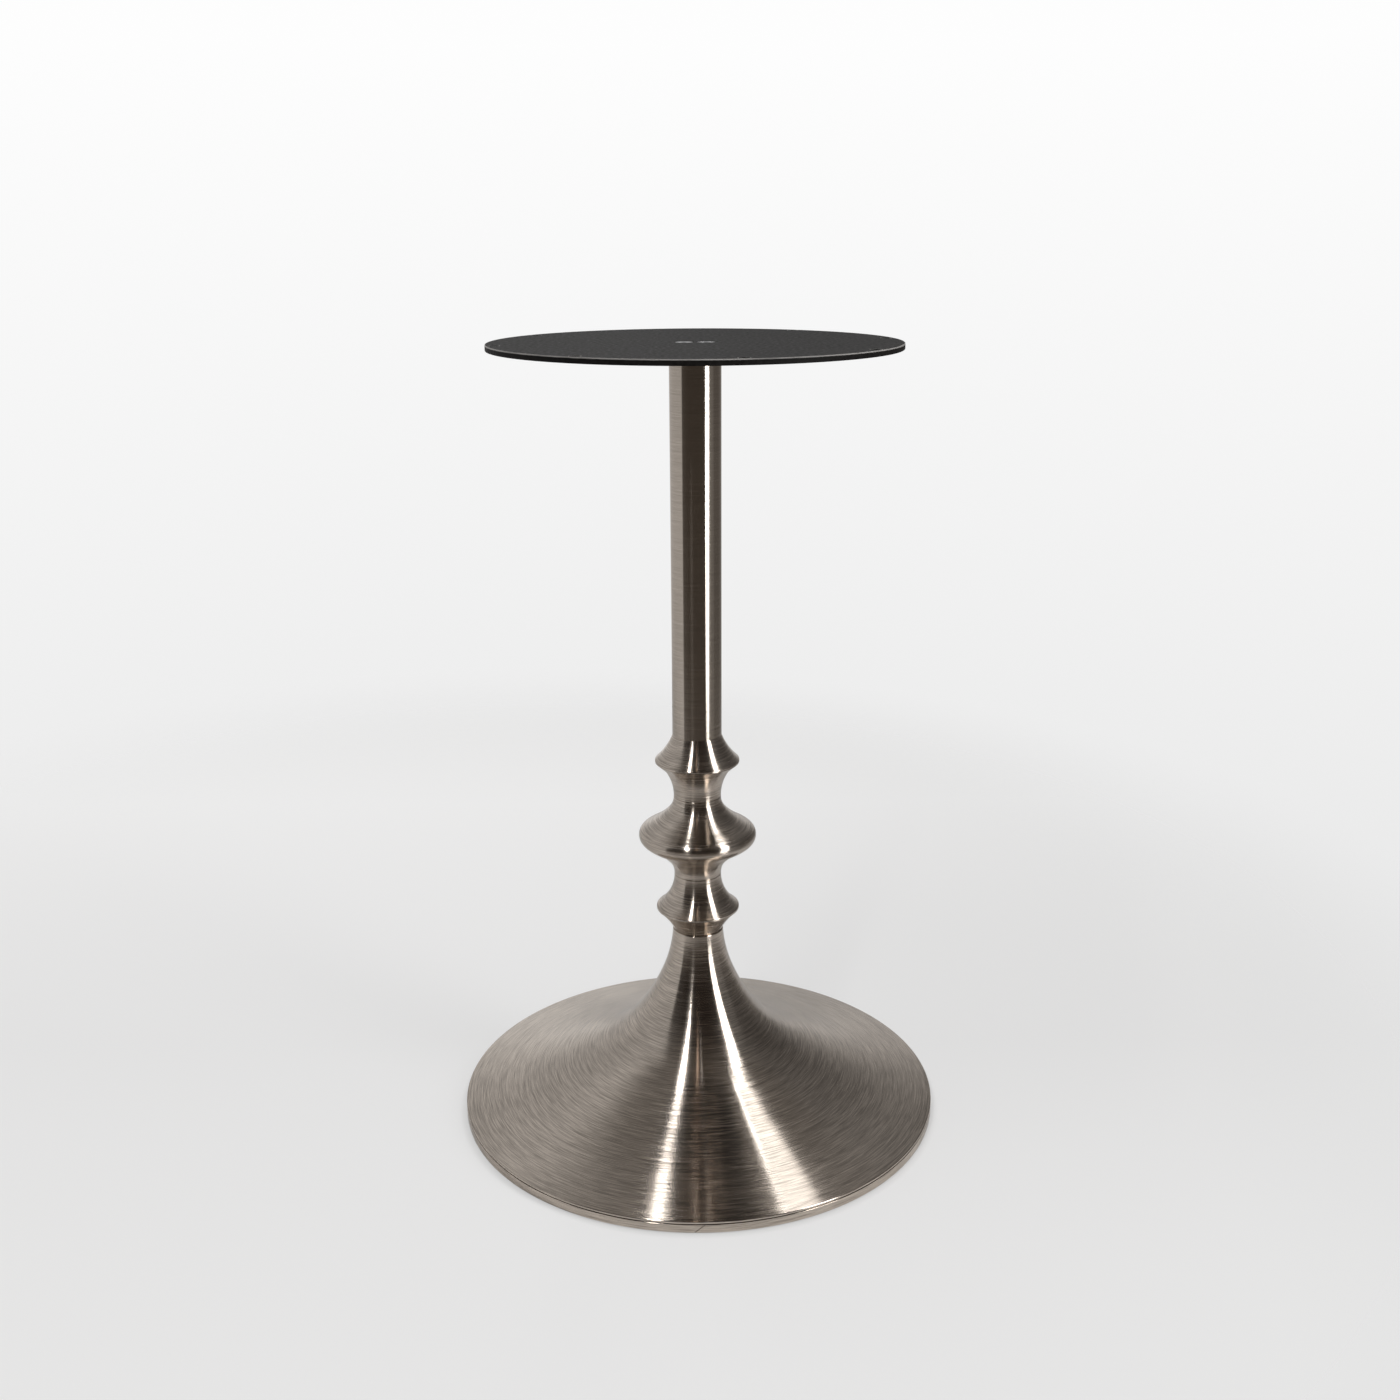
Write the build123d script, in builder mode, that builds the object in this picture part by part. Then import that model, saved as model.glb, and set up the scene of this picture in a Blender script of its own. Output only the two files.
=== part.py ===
"""Trumpet table base: a tube and three turned rings on a spun trumpet foot.

Millimetres, +Z up, with the origin on the floor under the middle of the base.
The stack is clamped from end to end. A tie rod screws into the boss in the top of
the column, runs down through the rings, the collar and the support tube, and ends
in a nut in the underside of the base weight.
"""

import os
from math import cos, radians, sin, sqrt, tan

from build123d import *

os.makedirs("parts", exist_ok=True)

# Overall sizes
overall_height = 720.0
base_diameter = 450.0
top_plate_diameter = 354.0
column_diameter = 45.0

# Fits and small edges
fit_gap = 0.1
end_gap = 1.0
joint_chamfer = 0.4

# Top plate and the holes near its rim
plate_thickness = 5.0
plate_edge_round = 0.5
rim_hole_count = 8
rim_hole_diameter = 9.0
rim_hole_inset = 7.0
rim_hole_start = 12.5

# Countersunk screws that hold the top plate to the boss
screw_diameter = 8.0
screw_head_diameter = 16.0
screw_head_recess = 0.3
screw_head_angle = 90.0
screw_length = 20.0
screw_chamfer = 1.0
screw_spacing = 19.0
screw_clearance = 0.5
screw_socket_across = 5.0
screw_socket_depth = 2.6
tapped_hole_spare = 2.0
tapped_hole_lead = 0.25

# Column tube and the boss welded in its top
column_wall = 1.5
boss_web = 5.0
boss_chamfer = 1.0

# Tie rod, its washers and its nut
rod_diameter = 12.0
rod_chamfer = 1.0
rod_clearance = 0.5
rod_thread_depth = 15.0
rod_stub = 2.0
washer_diameter = 24.0
washer_thickness = 2.5
lock_washer_diameter = 21.0
lock_washer_thickness = 2.5
lock_washer_slit = 1.5
lock_washer_slit_angle = 8.0
nut_across = 19.0
nut_height = 10.0
nut_chamfer = 1.0

# What the three cast and turned rings share
neck_radius = 21.8
neck_wall = 3.6
spigot_wall = 4.0
spigot_length = 8.0
core_wall = 7.0
core_floor = 3.0
core_roof = 8.0
small_rim_land = 1.8
small_rim_round = 0.8

# Upper ring: a flare, a sharp rim and an undercut cove
upper_ring_height = 59.5
upper_rim_radius = 38.7
upper_rim_drop = 24.9
upper_flare_angle = 21.0
upper_undercut_radius = 30.2
upper_undercut_drop = 8.4
column_spigot_length = 12.0

# Middle ring: a flare, a full rounded rim and an undercut cove
middle_ring_height = 77.0
middle_rim_radius = 54.4
middle_rim_drop = 38.0
middle_flare_run = 6.3
middle_flare_drop = 14.6
middle_shoulder_run = 6.6
middle_shoulder_rise = 8.7
middle_belly_run = 3.6
middle_belly_drop = 7.2
middle_keel_run = 19.0
middle_keel_drop = 17.3
middle_undercut_radius = 27.4
middle_undercut_drop = 24.7

# Lower ring: a flare, a sharp rim and a slightly hollow cone
lower_ring_height = 55.5
lower_rim_radius = 38.7
lower_rim_drop = 33.5
lower_cone_radius = 29.7
lower_cone_drop = 10.6
lower_foot_radius = 22.7

# Trumpet shell, spun from sheet. The flare's shares say how far out, and how far
# down, its curve has come between the throat and the rim. The inside face is
# offset from the flare at the stations, which are shares of the flare's length.
trumpet_height = 169.5
sheet_thickness = 1.2
sheet_corner_round = 1.0
throat_radius = 23.6
throat_angle = 3.0
rim_angle = 15.5
hem_width = 11.0
flare_shares = [
    (0.024, 0.171),
    (0.085, 0.350),
    (0.182, 0.530),
    (0.283, 0.649),
    (0.455, 0.769),
    (0.690, 0.889),
]
inside_stations = [0.12, 0.25, 0.38, 0.5, 0.62, 0.76, 0.9]

# Collar and tube that carry the stack inside the trumpet
collar_thickness = 8.0
collar_gap = 0.4
support_gap = 1.2
support_wall = 3.2
support_spigot_length = 8.0

# Base weight, with a hub over the recess for the nut
floor_gap = 1.0
weight_thickness = 8.0
hub_height = 19.0
hub_roof = 9.0
hub_shoulder = 8.0
hub_taper = 20.0
hub_round = 5.0
wrench_room = 9.0

# Edge band and floor glides
band_thickness = 1.0
band_groove = 0.4
band_seam_width = 0.5
band_seam_angle = 50.0
glide_count = 6
glide_inset = 25.0
glide_head_diameter = 20.0
glide_head_chamfer = 0.4
glide_stem_diameter = 6.0
glide_stem_length = 5.0

# Heights worked out from the sizes above
weight_top = floor_gap + weight_thickness
hub_top = weight_top + hub_height
recess_top = hub_top - hub_roof
throat_z = weight_top + trumpet_height
collar_top = throat_z - sheet_thickness
collar_bottom = collar_top - collar_thickness
lower_joint_z = throat_z + lower_ring_height
middle_joint_z = lower_joint_z + middle_ring_height
column_bottom = middle_joint_z + upper_ring_height
plate_bottom = overall_height - plate_thickness
head_top = overall_height - screw_head_recess
screw_tip = head_top - screw_length
tapped_bottom = screw_tip - tapped_hole_spare
rod_hole_top = tapped_bottom - boss_web
rod_top = rod_hole_top - end_gap
boss_bottom = rod_top - rod_thread_depth
washer_bottom = recess_top - washer_thickness
lock_washer_bottom = washer_bottom - lock_washer_thickness
nut_bottom = lock_washer_bottom - nut_height
rod_bottom = nut_bottom - rod_stub

# Radii worked out from the sizes above
base_radius = base_diameter / 2
rim_hole_radius = top_plate_diameter / 2 - rim_hole_inset
column_radius = column_diameter / 2
column_bore = column_radius - column_wall
socket_radius = neck_radius - neck_wall
spigot_radius = socket_radius - fit_gap
cast_bore = spigot_radius - spigot_wall
rod_radius = rod_diameter / 2
rod_hole_radius = rod_radius + rod_clearance
screw_radius = screw_diameter / 2
head_slope = tan(radians(screw_head_angle / 2))
screw_head_depth = (screw_head_diameter / 2 - screw_radius) / head_slope
countersink_radius = screw_head_diameter / 2 + screw_head_recess * head_slope
throat_bore = throat_radius - sheet_thickness
lip_radius = socket_radius + fit_gap
support_radius = throat_bore - support_gap
support_bore = support_radius - support_wall
weight_radius = base_radius - band_thickness
hub_radius = support_radius + hub_shoulder
recess_radius = nut_across / sqrt(3) + wrench_room


def add_spigot(radius, low, high):
    """Add a plain spigot, between two heights, to a half section."""
    with Locations((radius / 2, (low + high) / 2)):
        Rectangle(radius, high - low)


def cut_bore(radius, low, high):
    """Take a plain bore, between two heights, out of a half section."""
    with Locations((radius / 2, (low + high) / 2)):
        Rectangle(radius, high - low, mode=Mode.SUBTRACT)


def cut_ring_core(bottom, top, rim_radius, rim_z, spigot_top):
    """Take a cast ring's inside out of its half section.

    A socket at the bottom takes the spigot of the piece below, a bore runs right
    through, and a hollow in the form of a double cone follows the rim.
    """
    socket_top = bottom + spigot_length + end_gap
    hollow_low = socket_top + core_floor
    hollow_high = top - core_roof
    cut_bore(socket_radius, bottom, socket_top)
    cut_bore(cast_bore, bottom, spigot_top)
    Polygon(
        (0, hollow_low),
        (cast_bore, hollow_low),
        (rim_radius - core_wall, rim_z),
        (cast_bore, hollow_high),
        (0, hollow_high),
        align=None,
        mode=Mode.SUBTRACT,
    )


# Top plate, with a ring of plain holes and two countersunk ones
with BuildPart() as top_plate:
    with BuildSketch(Plane.XY.offset(plate_bottom)):
        Circle(top_plate_diameter / 2)
        with PolarLocations(rim_hole_radius, rim_hole_count, start_angle=rim_hole_start - 90):
            Circle(rim_hole_diameter / 2, mode=Mode.SUBTRACT)
    extrude(amount=plate_thickness)
    rims = top_plate.edges().filter_by(GeomType.CIRCLE).group_by(SortBy.RADIUS)[-1]
    fillet(rims, plate_edge_round)
    with Locations((-screw_spacing / 2, 0, overall_height), (screw_spacing / 2, 0, overall_height)):
        CounterSinkHole(
            screw_radius + screw_clearance,
            countersink_radius,
            counter_sink_angle=screw_head_angle,
        )
top_plate.part.label = "top_plate"
export_step(top_plate.part, "parts/top_plate.step")

# Countersunk screws: a cone that fills the countersink, a shank and a hexagon socket
with BuildPart() as plate_screws:
    for screw_x in (-screw_spacing / 2, screw_spacing / 2):
        with BuildSketch(Plane.XZ):
            with BuildLine():
                Polyline(
                    (screw_x, head_top),
                    (screw_x + screw_head_diameter / 2, head_top),
                    (screw_x + screw_radius, head_top - screw_head_depth),
                    (screw_x + screw_radius, screw_tip + screw_chamfer),
                    (screw_x + screw_radius - screw_chamfer, screw_tip),
                    (screw_x, screw_tip),
                    close=True,
                )
            make_face()
        revolve(axis=Axis((screw_x, 0, 0), (0, 0, 1)))
    with BuildSketch(Plane.XY.offset(head_top)):
        with Locations((-screw_spacing / 2, 0), (screw_spacing / 2, 0)):
            RegularPolygon(screw_socket_across / 2, 6, major_radius=False)
    extrude(amount=-screw_socket_depth, mode=Mode.SUBTRACT)
plate_screws.part.label = "plate_screws"
export_step(plate_screws.part, "parts/plate_screws.step")

# Boss welded in the column's top, tapped for the screws above and the tie rod below
with BuildPart() as top_boss:
    with BuildSketch(Plane.XZ):
        with BuildLine():
            Polyline(
                (0, plate_bottom),
                (column_bore, plate_bottom),
                (column_bore, boss_bottom + boss_chamfer),
                (column_bore - boss_chamfer, boss_bottom),
                (rod_radius, boss_bottom),
                (rod_radius, rod_hole_top),
                (0, rod_hole_top),
                close=True,
            )
        make_face()
    revolve(axis=Axis.Z)
    head_reach = countersink_radius - plate_thickness * head_slope
    tapped_mouth = max(head_reach, screw_radius + tapped_hole_lead)
    with Locations((-screw_spacing / 2, 0, plate_bottom), (screw_spacing / 2, 0, plate_bottom)):
        CounterSinkHole(
            screw_radius,
            tapped_mouth,
            depth=plate_bottom - tapped_bottom,
            counter_sink_angle=screw_head_angle,
        )
top_boss.part.label = "top_boss"
export_step(top_boss.part, "parts/top_boss.step")

# Column tube
with BuildPart() as column_tube:
    with BuildSketch(Plane.XZ):
        with BuildLine():
            Polyline(
                (column_bore, column_bottom),
                (column_radius - joint_chamfer, column_bottom),
                (column_radius, column_bottom + joint_chamfer),
                (column_radius, plate_bottom),
                (column_bore, plate_bottom),
                close=True,
            )
        make_face()
    revolve(axis=Axis.Z)
column_tube.part.label = "column_tube"
export_step(column_tube.part, "parts/column_tube.step")

# Upper ring
upper_rim_z = column_bottom - upper_rim_drop
with BuildPart() as upper_ring:
    with BuildSketch(Plane.XZ) as upper_section:
        with BuildLine():
            shoulder = Polyline(
                (0, column_bottom),
                (column_radius - joint_chamfer, column_bottom),
                (column_radius, column_bottom - joint_chamfer),
            )
            flare = TangentArc(
                shoulder @ 1,
                (upper_rim_radius, upper_rim_z + small_rim_land / 2),
                tangent=(sin(radians(upper_flare_angle)), -cos(radians(upper_flare_angle))),
            )
            undercut = Polyline(
                flare @ 1,
                (upper_rim_radius, upper_rim_z - small_rim_land / 2),
                (upper_undercut_radius, upper_rim_z - upper_undercut_drop),
            )
            cove = TangentArc((neck_radius, middle_joint_z + joint_chamfer), undercut @ 1, tangent=(0, 1))
            Polyline(
                cove @ 0,
                (neck_radius - joint_chamfer, middle_joint_z),
                (0, middle_joint_z),
                (0, column_bottom),
            )
        make_face()
        fillet(upper_section.vertices().group_by(Axis.X)[-1], small_rim_round)
        add_spigot(column_bore - fit_gap, column_bottom, column_bottom + column_spigot_length)
        cut_ring_core(
            middle_joint_z,
            column_bottom,
            upper_rim_radius,
            upper_rim_z,
            column_bottom + column_spigot_length,
        )
    revolve(axis=Axis.Z)
upper_ring.part.label = "upper_ring"
export_step(upper_ring.part, "parts/upper_ring.step")

# Middle ring
middle_rim_z = middle_joint_z - middle_rim_drop
with BuildPart() as middle_ring:
    with BuildSketch(Plane.XZ):
        with BuildLine():
            crown = Spline(
                (neck_radius, middle_joint_z - joint_chamfer),
                (neck_radius + middle_flare_run, middle_joint_z - middle_flare_drop),
                (middle_rim_radius - middle_shoulder_run, middle_rim_z + middle_shoulder_rise),
                (middle_rim_radius, middle_rim_z),
                tangents=[(0, -1), (0, -1)],
            )
            belly = Spline(
                crown @ 1,
                (middle_rim_radius - middle_belly_run, middle_rim_z - middle_belly_drop),
                (middle_rim_radius - middle_keel_run, middle_rim_z - middle_keel_drop),
                (middle_undercut_radius, middle_rim_z - middle_undercut_drop),
                tangents=[(0, -1), (-1, -1)],
            )
            cove = TangentArc((neck_radius, lower_joint_z + joint_chamfer), belly @ 1, tangent=(0, 1))
            Polyline(
                cove @ 0,
                (neck_radius - joint_chamfer, lower_joint_z),
                (0, lower_joint_z),
                (0, middle_joint_z),
                (neck_radius - joint_chamfer, middle_joint_z),
                crown @ 0,
            )
        make_face()
        add_spigot(spigot_radius, middle_joint_z, middle_joint_z + spigot_length)
        cut_ring_core(
            lower_joint_z,
            middle_joint_z,
            middle_rim_radius,
            middle_rim_z,
            middle_joint_z + spigot_length,
        )
    revolve(axis=Axis.Z)
middle_ring.part.label = "middle_ring"
export_step(middle_ring.part, "parts/middle_ring.step")

# Lower ring
lower_rim_z = lower_joint_z - lower_rim_drop
with BuildPart() as lower_ring:
    with BuildSketch(Plane.XZ) as lower_section:
        with BuildLine():
            flare = TangentArc(
                (neck_radius, lower_joint_z - joint_chamfer),
                (lower_rim_radius, lower_rim_z + small_rim_land / 2),
                tangent=(0, -1),
            )
            land = Line(flare @ 1, (lower_rim_radius, lower_rim_z - small_rim_land / 2))
            cone = ThreePointArc(
                land @ 1,
                (lower_cone_radius, lower_rim_z - lower_cone_drop),
                (lower_foot_radius, throat_z + joint_chamfer),
            )
            Polyline(
                cone @ 1,
                (lower_foot_radius - joint_chamfer, throat_z),
                (0, throat_z),
                (0, lower_joint_z),
                (neck_radius - joint_chamfer, lower_joint_z),
                flare @ 0,
            )
        make_face()
        fillet(lower_section.vertices().group_by(Axis.X)[-1], small_rim_round)
        add_spigot(spigot_radius, lower_joint_z, lower_joint_z + spigot_length)
        cut_ring_core(
            throat_z,
            lower_joint_z,
            lower_rim_radius,
            lower_rim_z,
            lower_joint_z + spigot_length,
        )
    revolve(axis=Axis.Z)
lower_ring.part.label = "lower_ring"
export_step(lower_ring.part, "parts/lower_ring.step")

# Trumpet shell: one sheet, turned in over the collar at the throat, flared out to
# the rim and folded back under itself there
rim_z = weight_top + 2 * sheet_thickness
throat_heading = Vector(sin(radians(throat_angle)), -cos(radians(throat_angle)))
rim_heading = Vector(cos(radians(rim_angle)), -sin(radians(rim_angle)))
fold_radius = base_radius - sheet_thickness
fold_z = rim_z - sheet_thickness / cos(radians(rim_angle)) + sheet_thickness * tan(radians(rim_angle))
with BuildPart() as trumpet_shell:
    with BuildSketch(Plane.XZ) as shell_section:
        with BuildLine():
            flare = Spline(
                (throat_radius, throat_z),
                *[
                    (
                        throat_radius + (base_radius - throat_radius) * out,
                        throat_z - (throat_z - rim_z) * down,
                    )
                    for out, down in flare_shares
                ],
                (base_radius, rim_z),
                tangents=[throat_heading, rim_heading],
            )
            inside = Spline(
                (throat_bore, throat_z - sheet_thickness),
                *[
                    flare @ along + (flare % along).rotate(Axis.Z, -90) * sheet_thickness
                    for along in inside_stations
                ],
                (fold_radius, fold_z),
                tangents=[throat_heading, rim_heading],
            )
            Polyline(flare @ 0, (lip_radius, throat_z), (lip_radius, throat_z - sheet_thickness), inside @ 0)
            Polyline(
                inside @ 1,
                (fold_radius, weight_top + sheet_thickness),
                (base_radius - hem_width, weight_top + sheet_thickness),
                (base_radius - hem_width, weight_top),
                (base_radius, weight_top),
                flare @ 1,
            )
        make_face()
        outer_corners = shell_section.vertices().group_by(Axis.X)[-1]
        fillet(outer_corners, sheet_corner_round)
        throat_corner = shell_section.vertices().group_by(Axis.Y)[-1].sort_by(Axis.X)[-1]
        fillet(throat_corner, sheet_corner_round)
    revolve(axis=Axis.Z)
trumpet_shell.part.label = "trumpet_shell"
export_step(trumpet_shell.part, "parts/trumpet_shell.step")

# Collar under the trumpet's lip, with a spigot up into the lower ring and one down
# into the support tube
with BuildPart() as neck_collar:
    with BuildSketch(Plane.XZ):
        add_spigot(throat_bore - collar_gap, collar_bottom, collar_top)
        add_spigot(spigot_radius, collar_top, throat_z + spigot_length)
        add_spigot(support_bore - fit_gap, collar_bottom - support_spigot_length, collar_bottom)
        cut_bore(rod_hole_radius, collar_bottom - support_spigot_length, throat_z + spigot_length)
    revolve(axis=Axis.Z)
neck_collar.part.label = "neck_collar"
export_step(neck_collar.part, "parts/neck_collar.step")

# Support tube, from the hub of the weight up to the collar
with BuildPart() as support_tube:
    with BuildSketch(Plane.XY.offset(hub_top)):
        Circle(support_radius)
        Circle(support_bore, mode=Mode.SUBTRACT)
    extrude(amount=collar_bottom - hub_top)
support_tube.part.label = "support_tube"
export_step(support_tube.part, "parts/support_tube.step")

# Base weight: a cast disc with a tapered hub, a spigot for the support tube, a
# recess for the nut and blind holes for the glides
glide_places = PolarLocations(base_radius - glide_inset, glide_count, start_angle=180 / glide_count)
hub_foot_radius = hub_radius + hub_height * tan(radians(hub_taper))
with BuildPart() as base_weight:
    with BuildSketch(Plane.XZ) as weight_section:
        with BuildLine():
            Polyline(
                (recess_radius, floor_gap),
                (weight_radius, floor_gap),
                (weight_radius, weight_top),
                (hub_foot_radius, weight_top),
                (hub_radius, hub_top),
                (support_bore - fit_gap, hub_top),
                (support_bore - fit_gap, hub_top + support_spigot_length),
                (rod_hole_radius, hub_top + support_spigot_length),
                (rod_hole_radius, recess_top),
                (recess_radius, recess_top),
                close=True,
            )
        make_face()
        hub_foot = weight_section.vertices().group_by(Axis.Y)[1].sort_by(Axis.X)[0]
        fillet(hub_foot, hub_round)
    revolve(axis=Axis.Z)
    with BuildSketch(Plane.XY.offset(floor_gap)):
        with glide_places:
            Circle(glide_stem_diameter / 2)
    extrude(amount=glide_stem_length + end_gap, mode=Mode.SUBTRACT)
base_weight.part.label = "base_weight"
export_step(base_weight.part, "parts/base_weight.step")

# Edge band: a strip rolled round the weight, with its ends butted at the front
band_top = weight_top - band_groove
with BuildPart() as edge_band:
    with BuildSketch(Plane.XY.offset(floor_gap)):
        Circle(base_radius)
        Circle(weight_radius, mode=Mode.SUBTRACT)
    extrude(amount=band_top - floor_gap)
    with BuildSketch(Plane.XZ.offset(weight_radius - end_gap)):
        with Locations((0, (floor_gap + band_top) / 2)):
            Rectangle(band_seam_width, 2 * (band_top - floor_gap), rotation=-band_seam_angle)
    extrude(amount=band_thickness + 2 * end_gap, mode=Mode.SUBTRACT)
edge_band.part.label = "edge_band"
export_step(edge_band.part, "parts/edge_band.step")

# Tie rod
with BuildPart() as tie_rod:
    with BuildSketch(Plane.XY.offset(rod_bottom)):
        Circle(rod_radius)
    extrude(amount=rod_top - rod_bottom)
    chamfer(tie_rod.edges().filter_by(GeomType.CIRCLE), rod_chamfer)
tie_rod.part.label = "tie_rod"
export_step(tie_rod.part, "parts/tie_rod.step")

# Plain washer
with BuildPart() as rod_washer:
    with BuildSketch(Plane.XY.offset(washer_bottom)):
        Circle(washer_diameter / 2)
        Circle(rod_hole_radius, mode=Mode.SUBTRACT)
    extrude(amount=washer_thickness)
rod_washer.part.label = "rod_washer"
export_step(rod_washer.part, "parts/rod_washer.step")

# Split lock washer
with BuildPart() as rod_lock_washer:
    with BuildSketch(Plane.XY.offset(lock_washer_bottom)):
        Circle(lock_washer_diameter / 2)
        Circle(rod_hole_radius, mode=Mode.SUBTRACT)
        with Locations((lock_washer_diameter / 2, 0)):
            Rectangle(
                lock_washer_diameter,
                lock_washer_slit,
                rotation=lock_washer_slit_angle,
                mode=Mode.SUBTRACT,
            )
    extrude(amount=lock_washer_thickness)
rod_lock_washer.part.label = "rod_lock_washer"
export_step(rod_lock_washer.part, "parts/rod_lock_washer.step")

# Hexagon nut, with its corners turned off above and below
with BuildPart() as rod_nut:
    with BuildSketch(Plane.XY.offset(nut_bottom)):
        RegularPolygon(nut_across / 2, 6, major_radius=False)
        Circle(rod_radius, mode=Mode.SUBTRACT)
    extrude(amount=nut_height)
    corner_radius = nut_across / sqrt(3)
    with BuildSketch(Plane.XZ):
        with BuildLine():
            Polyline(
                (0, nut_bottom),
                (corner_radius - nut_chamfer, nut_bottom),
                (corner_radius, nut_bottom + nut_chamfer / 2),
                (corner_radius, nut_bottom + nut_height - nut_chamfer / 2),
                (corner_radius - nut_chamfer, nut_bottom + nut_height),
                (0, nut_bottom + nut_height),
                close=True,
            )
        make_face()
    revolve(axis=Axis.Z, mode=Mode.INTERSECT)
rod_nut.part.label = "rod_nut"
export_step(rod_nut.part, "parts/rod_nut.step")

# Floor glides: a low head with a stem pushed up into the weight
for number, place in enumerate(glide_places, start=1):
    with BuildPart() as floor_glide:
        with BuildSketch(Plane(place.position)):
            Circle(glide_head_diameter / 2)
        extrude(amount=floor_gap)
        chamfer(floor_glide.edges().group_by(Axis.Z)[0], glide_head_chamfer)
        with BuildSketch(Plane(place.position + Vector(0, 0, floor_gap))):
            Circle(glide_stem_diameter / 2)
        extrude(amount=glide_stem_length)
    floor_glide.part.label = f"floor_glide_{number}"
    export_step(floor_glide.part, f"parts/floor_glide_{number}.step")
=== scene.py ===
"""Looks of a trumpet table base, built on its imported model.

The tube, the three turned rings, the trumpet and the edge band are surfaces turned
about the column's axis. The plate, the fastenings, the weight and the glides keep
their solids and get finishes. Sizes are in metres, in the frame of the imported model.
"""

from math import atan2, cos, pi, radians, sin, tan

import bpy
import numpy as np
from bpy.props import FloatProperty, FloatVectorProperty, IntProperty, PointerProperty
from mathutils import Matrix, Vector


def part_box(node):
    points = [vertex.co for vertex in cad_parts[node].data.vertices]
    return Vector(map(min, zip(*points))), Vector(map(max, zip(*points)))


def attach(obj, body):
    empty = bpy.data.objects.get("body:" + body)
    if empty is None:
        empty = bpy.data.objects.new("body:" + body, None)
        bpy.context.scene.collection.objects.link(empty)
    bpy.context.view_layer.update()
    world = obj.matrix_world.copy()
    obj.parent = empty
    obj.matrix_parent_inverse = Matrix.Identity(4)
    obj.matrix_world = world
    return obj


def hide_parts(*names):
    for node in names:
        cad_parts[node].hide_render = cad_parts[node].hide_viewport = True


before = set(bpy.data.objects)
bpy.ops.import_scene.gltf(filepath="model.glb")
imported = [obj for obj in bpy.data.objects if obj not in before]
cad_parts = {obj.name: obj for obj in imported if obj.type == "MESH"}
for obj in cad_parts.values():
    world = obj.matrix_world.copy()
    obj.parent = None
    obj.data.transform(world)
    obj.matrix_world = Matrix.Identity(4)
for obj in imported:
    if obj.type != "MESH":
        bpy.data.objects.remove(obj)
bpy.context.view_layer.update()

bl_info = {
    "name": "Trumpet Table Base",
    "version": (1, 0, 0),
    "blender": (4, 5, 0),
    "location": "View3D > Sidebar > Table Base",
    "description": "Builds the turned and brushed pieces of a trumpet table base and its studio",
    "category": "Add Mesh",
}

DOWN = -pi / 2
UP = pi / 2

TUBE_SIDES = 256
TURNED_SIDES = 288
BAND_SIDES = 360

# How far out, and how far down, the trumpet's curve has come between throat and rim
FLARE_SHARES = (
    (0.0, 0.0),
    (0.024, 0.171),
    (0.085, 0.350),
    (0.182, 0.530),
    (0.283, 0.649),
    (0.455, 0.769),
    (0.690, 0.889),
    (1.0, 1.0),
)

# Brushing lines: their length round the axis and their pitch across it, in metres
FINE_LINES = (0.020, 0.0005)
COARSE_LINES = (0.050, 0.0009)
RELIEF_PITCH = 0.0025

# Camera: the photograph's focal length as a share of its width
FOCAL_SHARE = 1560.63 / 1400
SENSOR_WIDTH = 36.0

# Ceiling lamps, which hang level and shine down. Each has its name, the studio's
# brightness that it takes and its share of it, its centre, the direction of its
# length, its width, its length and its colour.
LAMP_HEIGHT = 1.9
WHITE = (1.0, 1.0, 1.0)
WARM = (1.0, 0.76, 0.60)
CEILING_LAMPS = (
    ("front_strip", "strip_radiance", 1.0, (-0.588, -1.215), (0.223, 0.976), 0.11, 2.0, WHITE),
    ("rear_strip", "strip_radiance", 0.45, (-0.243, 0.552), (0.126, 0.994), 0.06, 1.6, WHITE),
    ("front_panel", "panel_radiance", 2.0, (0.964, -0.235), (-0.498, 0.874), 0.24, 0.65, WHITE),
    ("ceiling_panel", "panel_radiance", 1.0, (0.561, 0.805), (-0.296, 0.964), 0.25, 1.6, WHITE),
    ("panel_edge", "panel_radiance", 6.0, (0.474, 0.708), (-0.247, 0.975), 0.03, 1.6, WHITE),
    ("warm_line", "line_radiance", 1.0, (-0.031, -0.325), (0.0175, 1.0), 0.02, 2.65, WARM),
    ("thin_line", "line_radiance", 1.0, (0.067, -0.325), (-0.0384, 1.0), 0.008, 2.65, WHITE),
)

# Brightness of the studio's walls at shares of a turn, from straight behind the base
# over its left, the camera's side and its right to straight behind it again
WALL_STOPS = (
    (0.0, 0.50),
    (0.324, 0.50),
    (0.330, 0.04),
    (0.40, 0.01),
    (0.655, 0.01),
    (0.668, 0.20),
    (0.735, 0.14),
    (0.75, 0.08),
    (0.83, 0.07),
    (0.86, 0.09),
    (0.90, 0.12),
    (0.95, 0.35),
)


# Sizes, finishes and studio


def length(name, default, description):
    """A size in metres that can be set in the sidebar."""
    return FloatProperty(
        name=name, description=description, default=default, min=0.0, unit="LENGTH", precision=5
    )


def tilt(name, degrees, description):
    """An angle that can be set in the sidebar, in degrees."""
    return FloatProperty(
        name=name, description=description, default=radians(degrees), subtype="ANGLE"
    )


def brightness(name, default, description):
    """A lamp's radiance that can be set in the sidebar."""
    return FloatProperty(name=name, description=description, default=default, min=0.0)


def share(name, default, description):
    """A value from 0 to 1 that can be set in the sidebar."""
    return FloatProperty(
        name=name, description=description, default=default, min=0.0, max=1.0, subtype="FACTOR"
    )


def colour(name, default, description):
    """A linear colour that can be set in the sidebar."""
    return FloatVectorProperty(
        name=name, description=description, default=default, min=0.0, max=1.0, subtype="COLOR"
    )


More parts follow.
